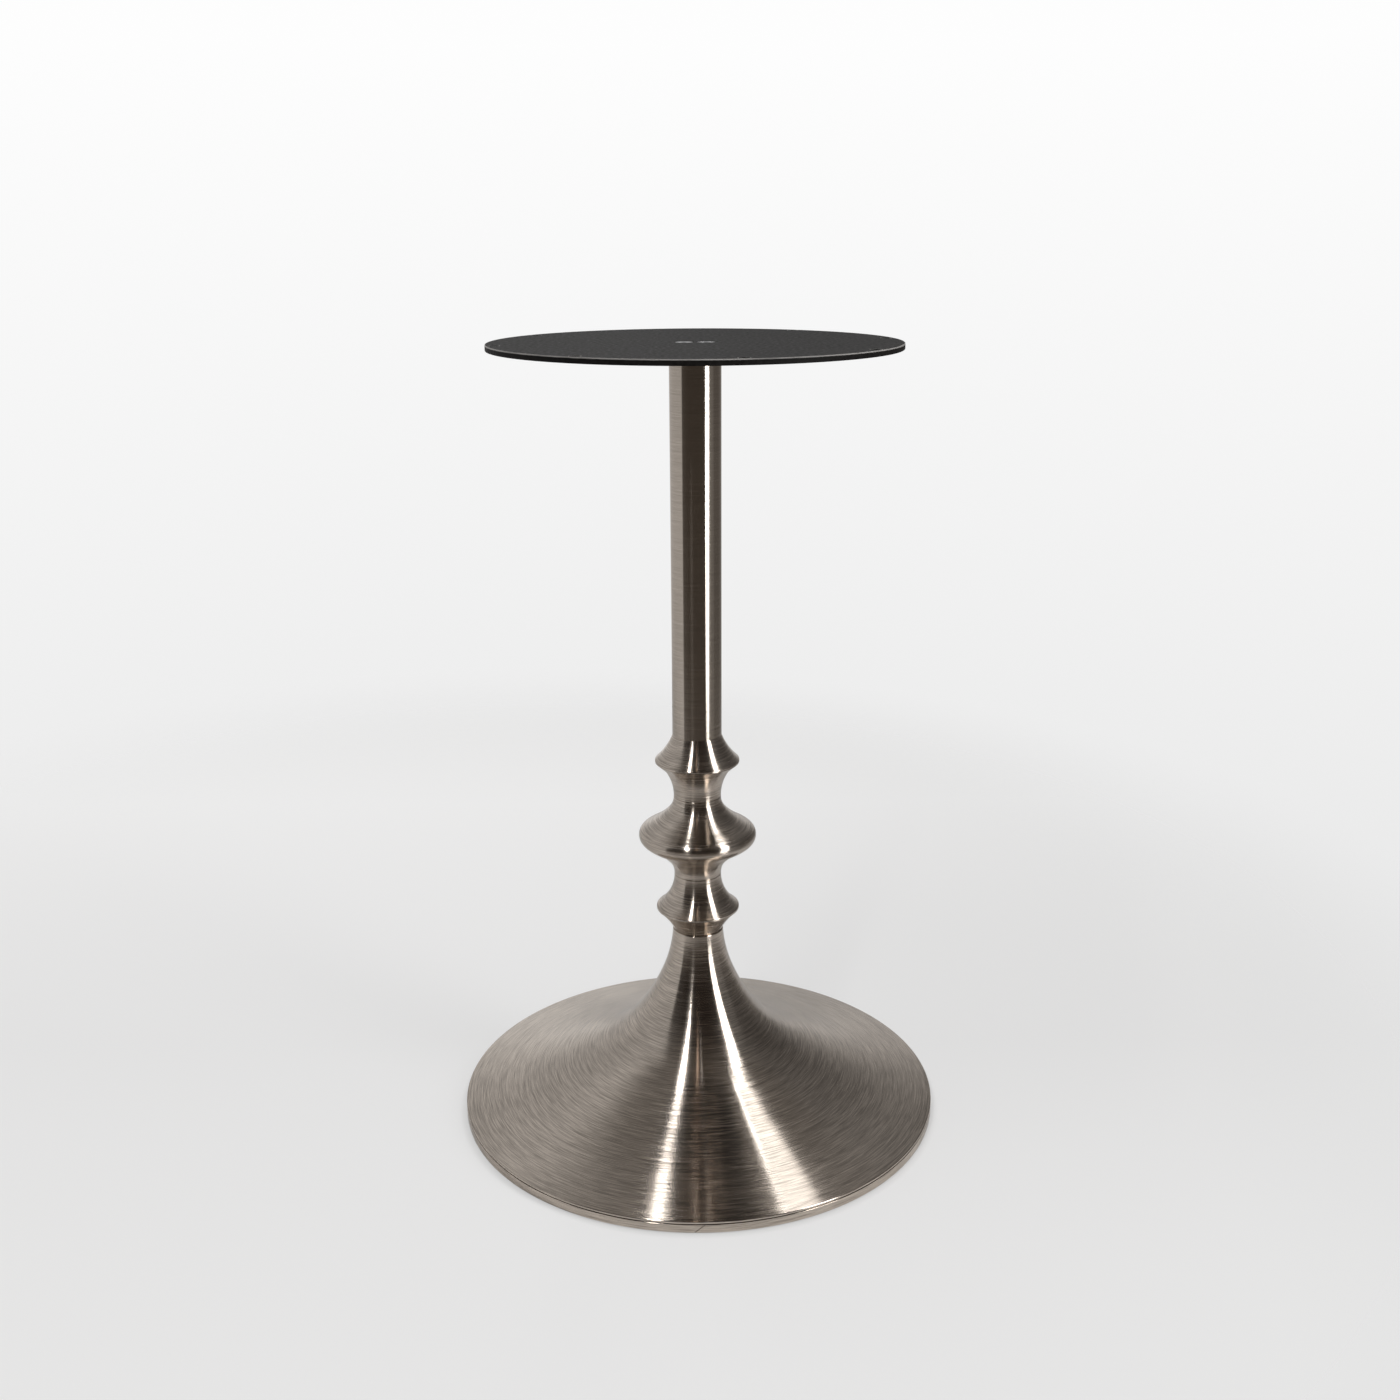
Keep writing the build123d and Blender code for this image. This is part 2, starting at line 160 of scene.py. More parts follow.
class TableBaseSizes(bpy.types.PropertyGroup):
    """Sizes of the turned pieces, which their solids share."""

    neck: length("Neck Radius", 0.0218, "Radius of the rings where they meet")
    chamfer: length("Joint Chamfer", 0.0004, "Small chamfer on each side of a joint")
    socket: length("Socket Radius", 0.0182, "Radius of the socket in a ring's underside")
    bore: length("Bore Radius", 0.0141, "Radius of the bore through a ring")
    spigot: length("Spigot Length", 0.008, "How far a spigot stands above its ring")
    fit_gap: length("Fit Gap", 0.0001, "Clearance round a spigot")
    end_gap: length("End Gap", 0.001, "How much deeper a socket is than its spigot is long")
    core_wall: length("Core Wall", 0.007, "Wall of a ring at its rim")
    core_floor: length("Core Floor", 0.003, "From the socket's end to the ring's core")
    core_roof: length("Core Roof", 0.008, "From the ring's core to its top")
    tube_wall: length("Tube Wall", 0.0015, "Wall of the column tube")
    rim_land: length("Small Rim Land", 0.0018, "Height of the flat edge of the two small rims")
    rim_round: length("Small Rim Round", 0.0008, "Rounding of the two small rims")
    upper_flare_angle: tilt("Upper Flare Angle", 21.0, "Lean of the upper ring's flare at its top")
    upper_rim_drop: length("Upper Rim Drop", 0.0249, "From the upper ring's top to its rim")
    upper_undercut_radius: length("Upper Undercut Radius", 0.0302, "Where the undercut ends")
    upper_undercut_drop: length("Upper Undercut Drop", 0.0084, "From the rim to the undercut's end")
    middle_rim_drop: length("Middle Rim Drop", 0.0380, "From the middle ring's top to its rim")
    middle_flare_run: length("Middle Flare Run", 0.0063, "How far out the flare's point stands")
    middle_flare_drop: length("Middle Flare Drop", 0.0146, "From the ring's top to that point")
    middle_shoulder_run: length("Middle Shoulder Run", 0.0066, "From the rim in to the shoulder")
    middle_shoulder_rise: length("Middle Shoulder Rise", 0.0087, "From the rim up to the shoulder")
    middle_belly_run: length("Middle Belly Run", 0.0036, "From the rim in to the belly")
    middle_belly_drop: length("Middle Belly Drop", 0.0072, "From the rim down to the belly")
    middle_keel_run: length("Middle Keel Run", 0.0190, "From the rim in to the keel")
    middle_keel_drop: length("Middle Keel Drop", 0.0173, "From the rim down to the keel")
    middle_hook_angle: tilt("Middle Hook Angle", 45.0, "Lean of the belly where it ends")
    middle_undercut_radius: length("Middle Undercut Radius", 0.0274, "Where the belly ends")
    middle_undercut_drop: length("Middle Undercut Drop", 0.0247, "From the rim to the belly's end")
    lower_rim_drop: length("Lower Rim Drop", 0.0335, "From the lower ring's top to its rim")
    lower_cone_radius: length("Lower Cone Radius", 0.0297, "Radius at the middle of the cone")
    lower_cone_drop: length("Lower Cone Drop", 0.0106, "From the rim to the middle of the cone")
    lower_foot: length("Lower Foot Radius", 0.0227, "Radius of the lower ring's foot")
    throat: length("Throat Radius", 0.0236, "Radius of the trumpet at its throat")
    throat_angle: tilt("Throat Angle", 3.0, "Lean of the trumpet from upright at its throat")
    rim_angle: tilt("Rim Angle", 15.5, "Slope of the trumpet at its rim")
    sheet: length("Sheet Thickness", 0.0012, "Thickness of the trumpet's sheet")
    sheet_round: length("Sheet Corner Round", 0.001, "Rounding of the sheet's bent corners")
    hem: length("Hem Width", 0.011, "Width of the trumpet's folded hem")
    band_wall: length("Band Thickness", 0.001, "Thickness of the edge band")
    band_ease: length("Band Edge Round", 0.00025, "Rounding of the edge band's outer edges")
    seam_gap: length("Seam Gap", 0.0005, "Gap between the ends of the edge band")
    seam_slant: tilt("Seam Slant", 50.0, "Slant of the band's butt seam from upright")


class TableBaseHoles(bpy.types.PropertyGroup):
    """Where the table top's screw holes stand in the plate."""

    count: IntProperty(name="Count", description="Number of holes", default=8, min=1)
    circle: length("Circle Radius", 0.170, "Radius of the circle of holes")
    radius: length("Hole Radius", 0.0045, "Radius of a hole")
    start: tilt("First Hole", 12.5, "Angle of one hole from the X axis")


class TableBaseFinishes(bpy.types.PropertyGroup):
    """Colours and gloss of the finishes."""

    steel: colour("Brushed Steel", (0.56, 0.495, 0.432), "Colour of the brushed stainless steel")
    steel_rough: share("Steel Roughness", 0.16, "Roughness of the tube, the trumpet and the band")
    ring_rough: share("Ring Roughness", 0.21, "Roughness of the turned rings")
    coat: colour("Powder Coat", (0.0115, 0.0107, 0.0103), "Colour of the plate's powder coat")
    coat_rough: share("Powder Coat Roughness", 0.55, "Roughness of the powder coat")
    # Pale colour painted along the plate's upper edge and round its holes: partly worn coat, partly
    # a painted highlight.
    painted_edge_highlight_and_wear: colour("Edge Highlight And Wear", (0.33, 0.32, 0.31), "Colour where the coat is rubbed thin")
    iron: colour("Cast Iron", (0.045, 0.046, 0.05), "Colour of the painted casting")
    zinc: colour("Zinc", (0.62, 0.63, 0.64), "Colour of the plated fasteners")
    mild_steel: colour("Mild Steel", (0.36, 0.35, 0.34), "Colour of the turned inner pieces")
    rubber: colour("Rubber", (0.018, 0.018, 0.018), "Colour of the floor glides")


class TableBaseStudio(bpy.types.PropertyGroup):
    """Camera, lamps and background."""

    camera_height: length("Camera Height", 0.81635, "Height of the camera above the floor")
    camera_distance: length("Camera Distance", 1.35326, "From the camera to the column's axis")
    camera_pitch: tilt("Camera Pitch", 17.001, "How far the camera looks down")
    camera_yaw: tilt("Camera Yaw", 0.1206, "How far the camera is turned to the right")
    camera_roll: tilt("Camera Roll", -0.2625, "How far the camera is rolled")
    # The base's radius and the painted shade round it: a ring of floor darkened next to the base's
    # rim, painted in place of a contact shadow.
    base_radius: length("Base Radius", 0.225, "Radius of the base that shades the floor round it")
    painted_shade_width: length("Painted Shade Width", 0.008, "Width of the shade on the floor round the base")
    painted_shade_depth: share("Painted Shade Depth", 0.18, "How much darker the floor is next to the base")
    key_radiance: brightness("Key Radiance", 6.0, "Brightness of the tall softbox")
    strip_radiance: brightness("Strip Radiance", 22.0, "Brightness of the ceiling strips")
    panel_radiance: brightness("Panel Radiance", 1.55, "Brightness of the ceiling panel")
    line_radiance: brightness("Line Radiance", 2.6, "Brightness of the two thin lines")
    floor: colour("Floor", (0.80, 0.80, 0.80), "Colour of the floor")
    backdrop: colour("Backdrop", (0.985, 0.985, 0.985), "Colour of the background behind the base")
    foreground: colour("Foreground", (0.765, 0.765, 0.765), "Colour of the background below")


# Outlines: arrays of points (radius, height)


def line(start, end, steps=2):
    """Evenly spaced points from start to end."""
    return np.linspace(start, end, steps)


def tangent_arc(start, end, heading, steps=40):
    """Arc of a circle that leaves start at the angle heading and ends at end.

    With d the angle from the heading to the chord and L the chord's length, the point
    at share t lies L sin(t d) / sin(d) from the start, at the angle heading + t d.
    """
    start, end = np.asarray(start, float), np.asarray(end, float)
    chord = end - start
    turn = atan2(chord[1], chord[0]) - heading
    turn = (turn + pi) % (2 * pi) - pi
    along = np.linspace(0.0, 1.0, steps)
    reach = np.hypot(*chord) * (along if abs(turn) < 1e-9 else np.sin(along * turn) / sin(turn))
    angle = heading + along * turn
    return start + reach[:, None] * np.stack((np.cos(angle), np.sin(angle)), 1)


def arc_through(start, middle, end, steps=40):
    """Arc of a circle through three points.

    The angle at the middle point between the two chords is the angle from the arc's
    first heading to the chord from start to end.
    """
    start, middle, end = (np.asarray(p, float) for p in (start, middle, end))
    first, second, chord = middle - start, end - middle, end - start
    turn = atan2(second[1], second[0]) - atan2(first[1], first[0])
    return tangent_arc(start, end, atan2(chord[1], chord[0]) - turn, steps)


def clamped_spline(points, first_heading, last_heading, steps=60):
    """Cubic spline through points, with its headings at both ends given.

    The parameter is the length of the chords, the slopes make the second derivative
    continuous, and each end slope is as long as that of the cubic through the four
    points nearest to it.
    """
    points = np.asarray(points, float)
    knots = np.concatenate(([0.0], np.cumsum(np.hypot(*np.diff(points, axis=0).T))))
    span = np.diff(knots)
    count = len(points)

    def end_slope(near_knots, near_points, at, heading):
        unit = np.array((cos(heading), sin(heading)))
        size = np.abs(np.polyfit(near_knots - at, near_points, len(near_knots) - 1)[-2]).sum()
        return unit * size / np.abs(unit).sum()

    matrix = np.eye(count)
    sides = np.zeros((count, 2))
    inner = np.arange(1, count - 1)
    before, after = span[:-1, None], span[1:, None]
    rise = np.diff(points, axis=0)
    matrix[inner, inner - 1] = span[1:]
    matrix[inner, inner] = 2 * (span[:-1] + span[1:])
    matrix[inner, inner + 1] = span[:-1]
    sides[inner] = 3 * (after / before * rise[:-1] + before / after * rise[1:])
    near = min(4, count)
    sides[0] = end_slope(knots[:near], points[:near], knots[0], first_heading)
    sides[-1] = end_slope(knots[-near:], points[-near:], knots[-1], last_heading)
    slopes = np.linalg.solve(matrix, sides)
    at = np.linspace(knots[0], knots[-1], steps)
    cell = np.clip(np.searchsorted(knots, at, side="right") - 1, 0, count - 2)
    width = span[cell][:, None]
    t = (at[:, None] - knots[cell][:, None]) / width
    return (
        (2 * t**3 - 3 * t**2 + 1) * points[cell]
        + (t**3 - 2 * t**2 + t) * width * slopes[cell]
        + (3 * t**2 - 2 * t**3) * points[cell + 1]
        + (t**3 - t**2) * width * slopes[cell + 1]
    )


def rounded(before, after, radius, steps=9):
    """Two stretches that meet in a corner, joined by an arc of the given radius.

    The arc touches both at radius times the tangent of half the turn from the corner.
    """
    corner = before[-1]
    come = (corner - before[-2]) / np.hypot(*(corner - before[-2]))
    leave = (after[1] - corner) / np.hypot(*(after[1] - corner))
    turn = atan2(come[0] * leave[1] - come[1] * leave[0], come @ leave)
    trim = radius * tan(abs(turn) / 2)
    arc = tangent_arc(corner - come * trim, corner + leave * trim, atan2(come[1], come[0]), steps)
    kept_before = before[np.hypot(*(before - corner).T) > trim]
    kept_after = after[np.hypot(*(after - corner).T) > trim]
    return np.concatenate((kept_before, arc, kept_after))


def offset(points, distance):
    """A copy of an outline moved to the right of its own direction."""
    heading = np.gradient(points, axis=0)
    heading /= np.hypot(*heading.T)[:, None]
    return points + distance * np.stack((heading[:, 1], -heading[:, 0]), 1)


def outline(*stretches):
    """One closed outline, run down its outer side, from stretches laid end to end."""
    points = np.concatenate([np.asarray(s, float).reshape(-1, 2) for s in stretches])
    points = points[np.hypot(*(points - np.roll(points, 1, axis=0)).T) > 1e-7]
    following = np.roll(points, -1, axis=0)
    area = (points[:, 0] * following[:, 1] - points[:, 1] * following[:, 0]).sum() / 2
    return points if area < 0 else points[::-1]


def corner_rows(points, sharpest=radians(20)):
    """Which points of a closed outline turn more than sharpest."""
    step = np.roll(points, -1, axis=0) - points
    come, leave = np.roll(step, 1, axis=0), step
    turn = np.arctan2(
        come[:, 0] * leave[:, 1] - come[:, 1] * leave[:, 0], (come * leave).sum(1)
    )
    return np.abs(turn) > sharpest


# Surfaces


def add_piece(name, vertices, faces, sharp_pairs, material):
    """Put a surface into the scene as one smooth piece on the base's body."""
    mesh = bpy.data.meshes.new(name)
    mesh.from_pydata(vertices, [], faces)
    mesh.update(calc_edges=True)
    ends = np.zeros(len(mesh.edges) * 2, np.int32)
    mesh.edges.foreach_get("vertices", ends)
    mesh.edges.foreach_set("use_edge_sharp", sharp_pairs(ends.reshape(-1, 2)))
    mesh.shade_smooth()
    mesh.materials.append(material)
    piece = bpy.data.objects.new(name, mesh)
    bpy.context.scene.collection.objects.link(piece)
    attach(piece, "root")
    return piece


def turned(name, points, sides, material):
    """A closed outline turned about the column's axis.

    Vertex (i, k) is (r_k cos a_i, r_k sin a_i, z_k), with a_i = 2 pi i / sides. Each
    quad joins two neighbouring angles and two neighbouring points of the outline.
    """
    count = len(points)
    angle = np.arange(sides) * (2 * pi / sides)
    around = np.stack((np.cos(angle), np.sin(angle)), 1)
    level = points[None, :, 0, None] * around[:, None, :]
    height = np.broadcast_to(points[None, :, 1, None], (sides, count, 1))
    vertices = np.concatenate((level, height), 2).reshape(-1, 3)
    i, k = np.meshgrid(np.arange(sides), np.arange(count), indexing="ij")
    right, below = (i + 1) % sides, (k + 1) % count
    quads = (i * count + k, i * count + below, right * count + below, right * count + k)
    faces = np.stack(quads, 2).reshape(-1, 4)
    corners = corner_rows(points)

    def on_corner(ends):
        rows = ends % count
        return (rows[:, 0] == rows[:, 1]) & corners[rows[:, 0]]

    return add_piece(name, vertices, faces, on_corner, material)


def rolled_strip(name, points, gap, slant, sides, material):
    """A closed outline carried round the axis from one side of a slanted seam to the other.

    The seam's middle stands at the front and leans by slant, so at height z it is
    (z - z_mid) tan(slant) to the right. Half a gap, measured level, is left each side.
    """
    count = len(points)
    radius = points[:, 0].max()
    middle = (points[:, 1].max() + points[:, 1].min()) / 2
    lean = (points[:, 1] - middle) * tan(slant) / radius
    half_gap = gap / cos(slant) / 2 / radius
    along = np.linspace(0.0, 1.0, sides + 1)[:, None]
    angle = DOWN + lean[None, :] + half_gap + along * (2 * pi - 2 * half_gap)
    radii, heights = points[:, 0], points[:, 1] + 0 * angle
    places = (radii * np.cos(angle), radii * np.sin(angle), heights)
    vertices = np.stack(places, 2).reshape(-1, 3)
    i, k = np.meshgrid(np.arange(sides), np.arange(count), indexing="ij")
    below = (k + 1) % count
    quads = (i * count + k, i * count + below, (i + 1) * count + below, (i + 1) * count + k)
    walls = np.stack(quads, 2).reshape(-1, 4)
    first_end = np.arange(count)[::-1]
    last_end = sides * count + np.arange(count)
    faces = walls.tolist() + [first_end.tolist(), last_end.tolist()]
    corners = corner_rows(points)

    def on_corner(ends):
        rows, turns = ends % count, ends // count
        at_end = (turns[:, 0] == turns[:, 1]) & ((turns[:, 0] == 0) | (turns[:, 0] == sides))
        return at_end | ((rows[:, 0] == rows[:, 1]) & corners[rows[:, 0]])

    return add_piece(name, vertices, faces, on_corner, material)


# Materials


class Signal:
    """A number on its way through a node tree. Arithmetic on it adds Math nodes."""

    def __init__(self, wiring, socket):
        self.wiring = wiring
        self.socket = socket

    def math(self, operation, *values, clamp=False):
        node = self.wiring.tree.nodes.new("ShaderNodeMath")
        node.operation = operation
        node.use_clamp = clamp
        for number, value in enumerate(values):
            self.wiring.feed(node.inputs[number], value)
        return Signal(self.wiring, node.outputs[0])

    def __add__(self, other):
        return self.math("ADD", self, other)

    def __radd__(self, other):
        return self.math("ADD", other, self)

    def __sub__(self, other):
        return self.math("SUBTRACT", self, other)

    def __rsub__(self, other):
        return self.math("SUBTRACT", other, self)

    def __mul__(self, other):
        return self.math("MULTIPLY", self, other)

    def __rmul__(self, other):
        return self.math("MULTIPLY", other, self)

    def root(self):
        return self.math("SQRT", self)

    def clamped(self):
        return self.math("ADD", self, 0.0, clamp=True)

    def size(self):
        return self.math("ABSOLUTE", self)

    def higher(self, other):
        return self.math("MAXIMUM", self, other)

    def ramped(self, low, high):
        """0 below low, 1 above high and a smooth rise between."""
        return self.wiring.node(
            "ShaderNodeMapRange",
            {"interpolation_type": "SMOOTHSTEP"},
            {"Value": self, "From Min": low, "From Max": high},
        )


class Wiring:
    """Adds nodes to one node tree and joins them up."""

    def __init__(self, tree):
        self.tree = tree
        tree.nodes.clear()

    def feed(self, socket, value):
        """Link a signal to a socket, or set a plain value on it."""
        if isinstance(value, Signal):
            self.tree.links.new(value.socket, socket)
        else:
            socket.default_value = value

    def node(self, kind, settings=None, inputs=None, output=0):
        """Add a node with its settings, then its inputs, and return one output."""
        node = self.tree.nodes.new(kind)
        for name, value in (settings or {}).items():
            if name == "stops":
                self.set_stops(node.color_ramp, value)
            else:
                setattr(node, name, value)
        for name, value in (inputs or {}).items():
            self.feed(node.inputs[name], value)
        return Signal(self, node.outputs[output]) if node.outputs else node

    def set_stops(self, ramp, stops):
        """Give a colour ramp its stops: (position, grey) pairs."""
        while len(ramp.elements) > 1:
            ramp.elements.remove(ramp.elements[-1])
        for number, (position, grey) in enumerate(stops):
            element = ramp.elements[0] if number == 0 else ramp.elements.new(position)
            element.position = position
            element.color = (grey, grey, grey, 1.0)

    def place(self, coordinates="Object"):
        """The three object coordinates as signals."""
        where = self.node("ShaderNodeTexCoord", output=coordinates)
        split = self.tree.nodes.new("ShaderNodeSeparateXYZ")
        self.feed(split.inputs[0], where)
        return [Signal(self, split.outputs[axis]) for axis in range(3)]

    def noise(self, vector, scale=1.0, detail=2.0, roughness=0.5, w=None):
        """Fractal noise from 0 to 1 at a vector, with an optional fourth coordinate."""
        point = self.node("ShaderNodeCombineXYZ", {}, dict(zip("XYZ", vector)))
        inputs = {"Vector": point, "Scale": scale, "Detail": detail, "Roughness": roughness}
        if w is not None:
            inputs["W"] = w
        dimensions = "3D" if w is None else "4D"
        return self.node("ShaderNodeTexNoise", {"noise_dimensions": dimensions}, inputs)

    def blend(self, low, high, factor):
        """A colour between two colours."""
        node = self.tree.nodes.new("ShaderNodeMix")
        node.data_type = "RGBA"
        for number, value in ((0, factor), (6, low), (7, high)):
            self.feed(node.inputs[number], value)
        return Signal(self, node.outputs[2])


def solid(rgb, level=1.0):
    """A colour times a level, with full alpha."""
    return tuple(channel * level for channel in rgb) + (1.0,)


def new_finish(name):
    """An empty node material and its wiring."""
    material = bpy.data.materials.new(name)
    material.use_nodes = True
    return material, Wiring(material.node_tree)


def finish_surface(wiring, inputs, height=None, depth=0.0001, strength=1.0):
    """Join a Principled shader, with an optional bump, to the material's output."""
    if height is not None:
        inputs["Normal"] = wiring.node(
            "ShaderNodeBump", {}, {"Height": height, "Distance": depth, "Strength": strength}
        )
    shader = wiring.node("ShaderNodeBsdfPrincipled", {}, inputs)
    wiring.node("ShaderNodeOutputMaterial", {}, {"Surface": shader})


def brushed_steel(name, tint, roughness, fineness, contrast):
    """Stainless steel brushed round the axis.

    The lines are noise that is long round the axis and short across it, so its fine
    coordinates are the radius and the height, and its slow ones are X and Y. The relief
    has no slow coordinates, so it tilts the surface only across the brushing.
    """
    material, wiring = new_finish(name)
    x, y, z = wiring.place()
    radius = (x * x + y * y).root()

    def lines(run, pitch):
        across = fineness / pitch
        return wiring.noise((x * (1 / run), y * (1 / run), radius * across), w=z * across)

    fine = lines(*FINE_LINES)
    coarse = lines(*COARSE_LINES)
    relief = (radius * (1 / RELIEF_PITCH), z * (1 / RELIEF_PITCH), 0.0)
    grooves = wiring.noise(relief, detail=1.0)
    cloud = wiring.noise((x, y, z), scale=14.0, detail=3.0)
    streaks = ((fine - 0.5) * 3.0 + (coarse - 0.5) * 1.15) * contrast
    tone = (streaks + (cloud - 0.5) * 0.3 + 0.5).clamped()
    scored = coarse.ramped(0.5, 0.8) * 0.08 + fine.ramped(0.5, 0.8) * 0.07
    rough = roughness + scored * contrast
    finish_surface(
        wiring,
        {
            "Base Color": wiring.blend(solid(tint, 0.64), solid(tint, 1.36), tone),
            "Metallic": 1.0,
            "Roughness": rough,
            "Anisotropic": 1.0,
            "Anisotropic Rotation": 0.25,
        },
        height=grooves,
        depth=0.0001,
        strength=0.8,
    )
    return material


def powder_coat(finishes, rim, top, holes):
    """Black powder coat with grain, and painted highlight and wear on its upper edge and holes.

    The holes stand on a circle, so the nearest one is found by wrapping the angle to
    half a step each side of it.
    """
    material, wiring = new_finish("powder_coat_finish")
    x, y, z = wiring.place()
    radius = (x * x + y * y).root()
    grain = wiring.noise((x, y, z), scale=300.0, detail=4.0)
    patches = wiring.noise((x, y, z), scale=30.0, detail=3.0)
    step = 2 * pi / holes.count
    bearing = y.math("ARCTAN2", y, x) - holes.start
    beside = bearing.math("WRAP", bearing, step / 2, -step / 2)
    along = radius * beside.math("COSINE", beside) - holes.circle
    across = radius * beside.math("SINE", beside)
    from_hole = (along * along + across * across).root() - holes.radius
    # Painted highlight, partly wear: a pale colour along the plate's upper edge and the rims of its
    # holes stands in for their gleam and for coat rubbed thin.
    near_rim = radius.ramped(rim - 0.0008, rim - 0.0004)
    near_hole = from_hole.ramped(0.00005, 0.00015) * (1.0 - from_hole.ramped(0.0005, 0.0009))
    near_top = z.ramped(top - 0.0011, top - 0.0007)
    edge_highlight_and_wear = near_rim.higher(near_hole) * near_top * (patches.ramped(0.30, 0.5) * 0.4 + 0.6)
    tone = (0.5 + (grain - 0.5) * 1.8 + (patches - 0.5) * 0.5).clamped()
    base = wiring.blend(solid(finishes.coat, 0.6), solid(finishes.coat, 1.6), tone)
    finish_surface(
        wiring,
        {
            "Base Color": wiring.blend(base, solid(finishes.painted_edge_highlight_and_wear), edge_highlight_and_wear),
            "Roughness": finishes.coat_rough + (grain - 0.5) * 0.5,
            "Specular IOR Level": 0.06,
        },
        height=grain,
        depth=0.0002,
        strength=0.6,
    )
    return material


def cast_iron(finishes):
    """Thin black paint over a sand casting."""
    material, wiring = new_finish("iron_finish")
    x, y, z = wiring.place()
    sand = wiring.noise((x, y, z), scale=900.0, detail=4.0, roughness=0.6)
    patches = wiring.noise((x, y, z), scale=40.0, detail=3.0)
    tone = (0.5 + (patches - 0.5) * 1.2).clamped()
    finish_surface(
        wiring,
        {
            "Base Color": wiring.blend(solid(finishes.iron, 0.7), solid(finishes.iron, 1.4), tone),
            "Roughness": 0.55 + (sand - 0.5) * 0.2,
        },
        height=sand,
        depth=0.0004,
        strength=0.7,
    )
    return material


def plain_metal(name, tint, rough, pitch):
    """Turned or plated metal with faint tool marks and small changes of tone."""
    material, wiring = new_finish(name)
    x, y, z = wiring.place()
    marks = wiring.noise((x * 60.0, y * 60.0, z * (1 / pitch)), detail=2.0)
    patches = wiring.noise((x, y, z), scale=60.0, detail=3.0)
    tone = (0.5 + (patches - 0.5) * 0.8 + (marks - 0.5) * 0.4).clamped()
    finish_surface(
        wiring,
        {
            "Base Color": wiring.blend(solid(tint, 0.85), solid(tint, 1.12), tone),
            "Metallic": 1.0,
            "Roughness": rough + (patches - 0.5) * 0.15,
        },
        height=marks,
        depth=0.00005,
        strength=0.4,
    )
    return material


def glide_rubber(finishes):
    """Matt rubber with a faint moulded grain."""
    material, wiring = new_finish("rubber_finish")
    x, y, z = wiring.place()
    grain = wiring.noise((x, y, z), scale=1200.0, detail=2.0)
    dust = wiring.noise((x, y, z), scale=90.0, detail=3.0)
    tone = (0.5 + (dust - 0.5) * 1.1).clamped()
    finish_surface(
        wiring,
        {
            "Base Color": wiring.blend(
                solid(finishes.rubber, 0.8), solid(finishes.rubber, 1.8), tone
            ),
            "Roughness": 0.7 + (grain - 0.5) * 0.2,
        },
        height=grain,
        depth=0.0001,
        strength=0.5,
    )
    return material


def shared_finish(name, make, *values):
    """The finish of that name, made the first time it is asked for."""
    return bpy.data.materials.get(name) or make(*values)


def give_finish(names, material):
    """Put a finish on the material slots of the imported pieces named."""
    for name in names:
        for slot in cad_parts[name].material_slots:
            slot.material = material


# Operators


class BasePiece:
    """What the operators for the pieces share."""

    bl_options = {"REGISTER", "UNDO"}

    def sizes(self, context):
        return context.scene.table_base_sizes

    def steel(self, context, name, roughness, fineness=1.0, contrast=0.9):
        tint = context.scene.table_base_finishes.steel
        return shared_finish(name, brushed_steel, name, tint, roughness, fineness, contrast)

    def ring_inside(self, sizes, bottom, top, rim_radius, rim_z, spigot_radius, spigot_top):
        """A ring's inner side, from its foot up to its spigot's top and back to its top."""
        socket_top = bottom + sizes.spigot + sizes.end_gap
        return [
            (sizes.socket, bottom),
            (sizes.socket, socket_top),
            (sizes.bore, socket_top),
            (sizes.bore, socket_top + sizes.core_floor),
            (rim_radius - sizes.core_wall, rim_z),
            (sizes.bore, top - sizes.core_roof),
            (sizes.bore, spigot_top),
            (spigot_radius, spigot_top),
            (spigot_radius, top),
        ]


class TABLEBASE_OT_column_tube(BasePiece, bpy.types.Operator):
    """Turn the plain tube of the column"""

    bl_idname = "table_base.column_tube"
    bl_label = "Column Tube"

    def execute(self, context):
        sizes = self.sizes(context)
        low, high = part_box("column_tube")
        radius, bore = high.x, high.x - sizes.tube_wall
        points = outline(
            line((radius, high.z), (radius, low.z + sizes.chamfer), 24),
            [(radius - sizes.chamfer, low.z), (bore, low.z), (bore, high.z)],
        )
        roughness = context.scene.table_base_finishes.steel_rough
        polished = self.steel(context, "fine_brushed_steel", roughness, 1.9, 0.35)
        piece = turned("tube_brushed", points, TUBE_SIDES, polished)
        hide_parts("column_tube")
        return {"FINISHED"}


